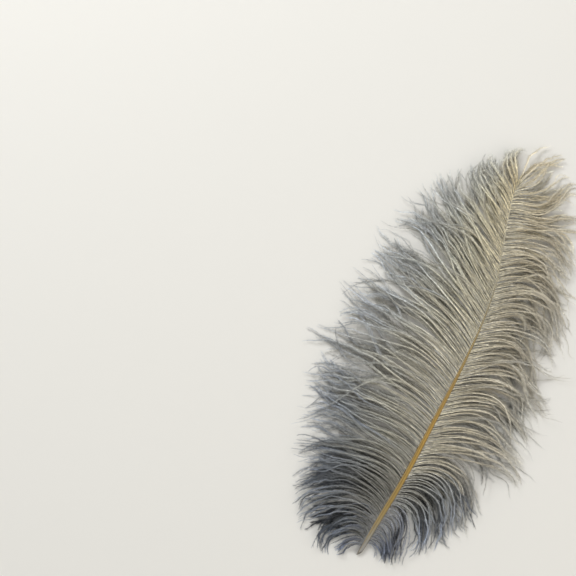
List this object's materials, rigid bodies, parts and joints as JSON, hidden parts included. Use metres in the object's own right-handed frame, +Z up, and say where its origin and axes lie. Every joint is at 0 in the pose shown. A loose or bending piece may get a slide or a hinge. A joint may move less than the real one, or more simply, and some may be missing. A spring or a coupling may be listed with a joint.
{
  "type": "ostrich feather",
  "caption": "Loose ostrich plume lying flat: a tapered, arched shaft with long soft barbs each side and a downy foot, for decoration or trim.",
  "frame": {"origin": "middle of the feather's footprint, on the surface that it lies on", "axes": "+Y along the shaft from the cut quill end to the tip, +Z up out of the feather's upper side, +X to its right seen from above with the tip away"},
  "size_m": [0.2598, 0.4498, 0.0225],
  "materials": {
    "shaft": "smooth golden-brown horn, low sheen, pale at the cut quill end and dark brown towards the tip",
    "vane": "soft loose barbs, warm silver-grey, fuzzy and matte",
    "down": "downy barbs, bluish grey, fuzzy and matte"
  },
  "bodies": {
    "root": {"shaft": "shaft", "left_vane": "vane", "right_vane": "vane", "left_down": "down", "right_down": "down"}
  },
  "joints": []
}
